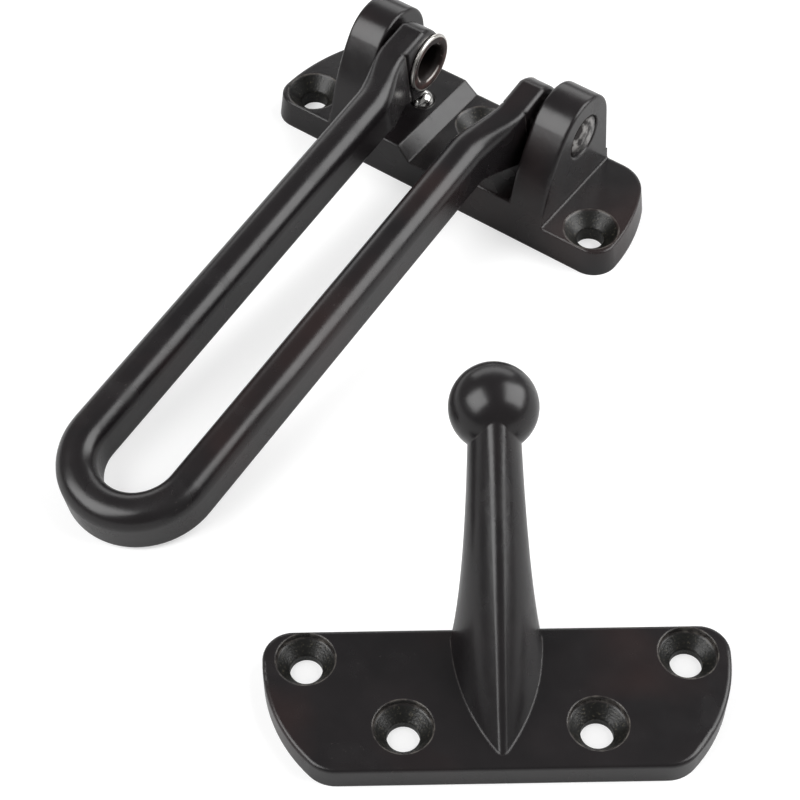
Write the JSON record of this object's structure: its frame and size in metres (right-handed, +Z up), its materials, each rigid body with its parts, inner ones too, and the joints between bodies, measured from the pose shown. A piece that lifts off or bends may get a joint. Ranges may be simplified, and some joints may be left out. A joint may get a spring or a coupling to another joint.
{
  "type": "swing bar door guard",
  "caption": "Door guard set: a looped swing bar hinged between the ears of a cast base, and a keeper plate carrying a ball on a leaning post.",
  "frame": {"origin": "centre of the hinge base's underside", "axes": "+X along the hinge pins, +Y from the folded-out bar's bend towards the hinge and on past it, +Z up out of the base's screwed face"},
  "size_m": [0.1481, 0.1427, 0.0385],
  "materials": {
    "satin_black_base": "satin",
    "satin_black_bar": "satin",
    "satin_black_keeper": "satin",
    "bright_nickel_pins": "satin",
    "bright_ball": "polished",
    "spring_steel": "satin"
  },
  "bodies": {
    "base": {"bar_base": "satin_black_base", "left_hinge_pin": "bright_nickel_pins", "right_hinge_pin": "bright_nickel_pins", "detent_spring": "spring_steel", "ball_keeper": "satin_black_keeper"},
    "bar": {"swing_bar": "satin_black_bar"},
    "detent": {"detent_ball": "bright_ball"}
  },
  "joints": [
    {"name": "bar_hinge", "type": "hinge", "parent": "base", "child": "bar", "pos_m": [0, 0.0019, 0.0189], "axis": [-1, 0, 0], "range_deg": [0, 180]},
    {"name": "detent_press", "type": "slide", "parent": "base", "child": "detent", "axis": [0, 0, 1], "range_m": [-0.0007, 0], "stiffness_N_per_m": 600, "springref_m": 0.001, "deforming": ["detent_spring"]}
  ]
}
